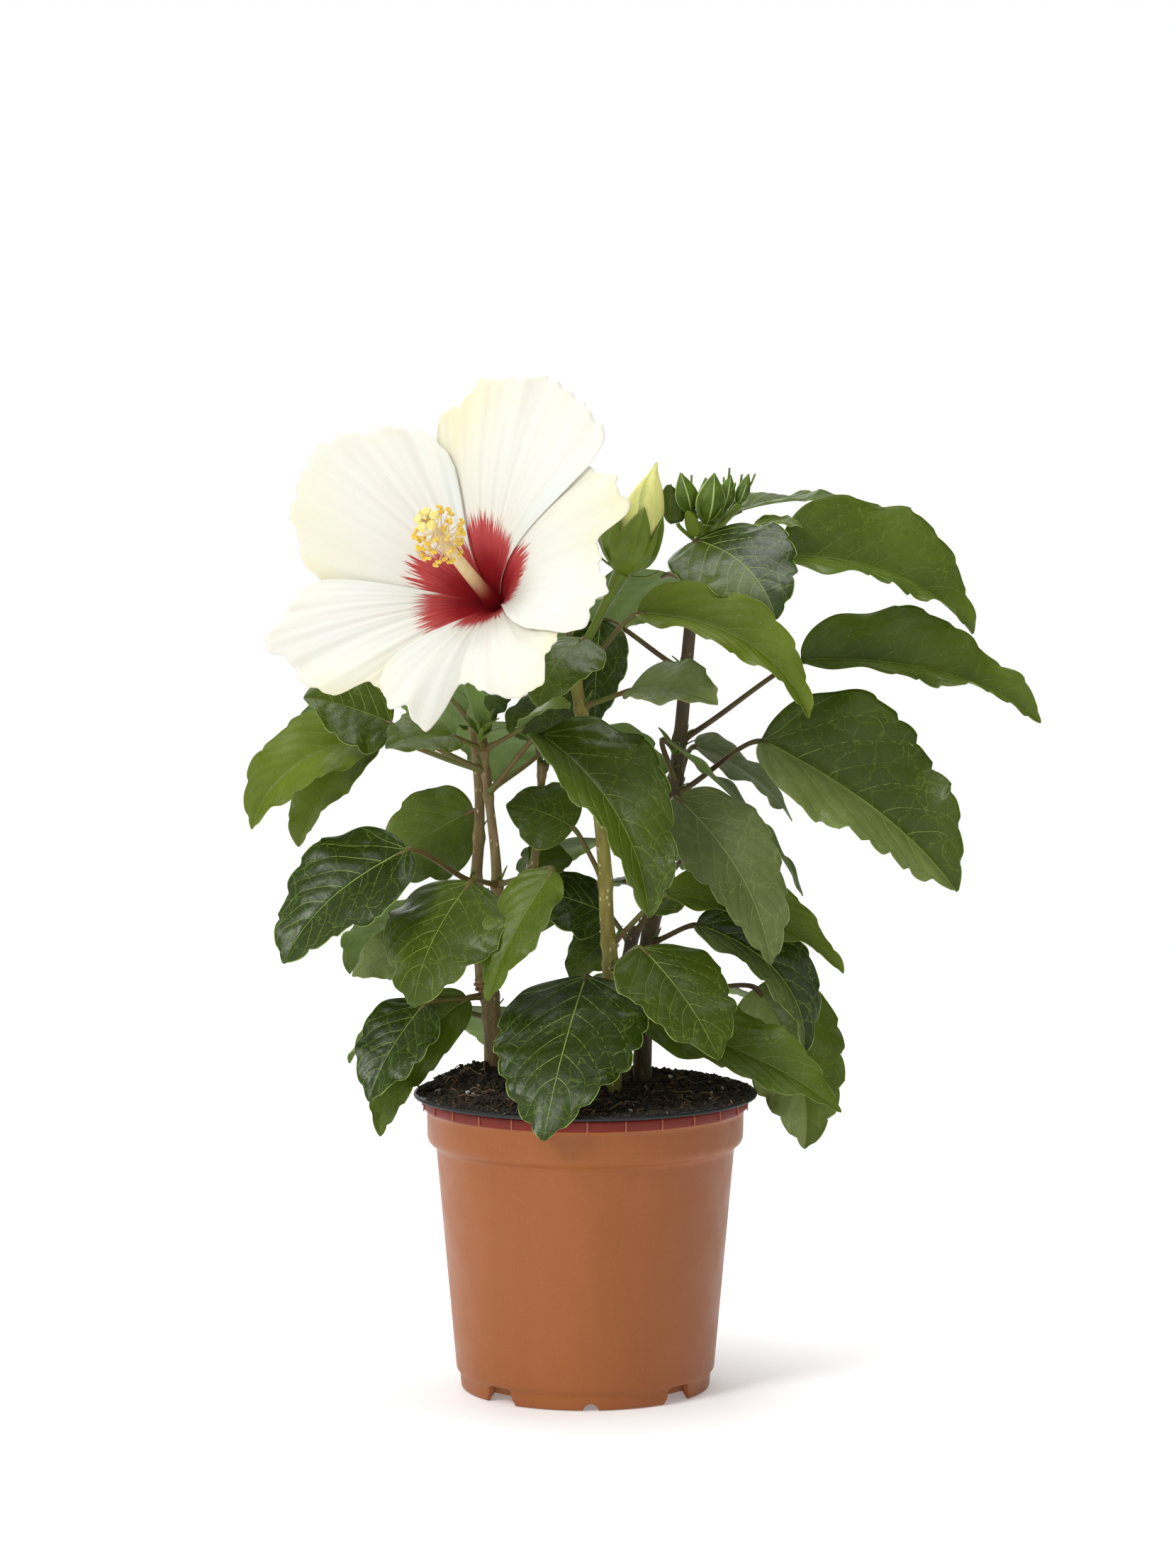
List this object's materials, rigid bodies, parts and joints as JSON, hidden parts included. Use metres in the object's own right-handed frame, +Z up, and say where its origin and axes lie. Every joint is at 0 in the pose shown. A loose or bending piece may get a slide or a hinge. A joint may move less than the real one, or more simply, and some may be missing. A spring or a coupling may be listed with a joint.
{
  "type": "potted hibiscus shrub",
  "caption": "Young potted hibiscus shrub with toothed glossy leaves, one large open white bloom with a deep red throat, a bud about to open and green buds, in a plastic nursery pot.",
  "frame": {"origin": "centre of the flat underside of the pot, on the surface that the pot stands on", "axes": "+Z up along the pot's axis, -Y towards the front where the bloom faces, +X to the right seen from the front"},
  "size_m": [0.2992, 0.197, 0.3797],
  "materials": {
    "pot": "satin terracotta",
    "liner": "matt dark grey",
    "soil": "rough, matt",
    "bark": "satin, fine lenticels",
    "dark_bark": "satin, fine lenticels",
    "leaf": "glossy upper side, matt paler underside",
    "petal": "soft satin",
    "stamens": "matt, powdery",
    "bud_green": "satin",
    "bud_petal": "soft satin"
  },
  "bodies": {
    "root": {"pot": "pot", "liner": "liner", "soil": "soil", "stem_left": "bark", "stem_left_rear": "bark", "stem_left_front": "bark", "stem_left_side": "bark", "stem_middle": "bark", "stem_dark": "dark_bark", "stem_dark_low": "dark_bark", "leaves_top_right": "leaf", "leaves_right_upper": "leaf", "leaves_right_middle": "leaf", "leaves_right_lower": "leaf", "leaves_under_bud": "leaf", "leaf_grey": "leaf", "leaf_by_bloom": "leaf", "leaves_heart": "leaf", "leaves_centre": "leaf", "leaf_centre_dark": "leaf", "leaves_light": "leaf", "leaf_round": "leaf", "leaf_curled": "leaf", "leaves_low_right": "leaf", "leaf_front": "leaf", "leaves_left_front": "leaf", "leaf_left_wide": "leaf", "leaf_left_behind": "leaf", "leaf_left_pale": "leaf", "leaves_low_left": "leaf", "leaves_far_left": "leaf", "leaves_young": "leaf", "leaf_inner_high": "leaf", "leaf_inner_small": "leaf", "leaf_inner": "leaf", "leaf_inner_right": "leaf", "leaf_inner_low": "leaf", "rear_high_left": "leaf", "rear_high_side": "leaf", "rear_high_middle": "leaf", "rear_high_dark": "leaf", "rear_mid_dark": "leaf", "rear_mid_middle": "leaf", "rear_mid_left": "leaf", "rear_low_left": "leaf", "rear_low_dark": "leaf", "rear_low_middle": "leaf", "corolla": "petal", "staminal_column": "stamens", "bloom_calyx": "bud_green", "bud_petals": "bud_petal", "bud_calyx": "bud_green", "bud_cluster": "bud_green"}
  },
  "joints": []
}
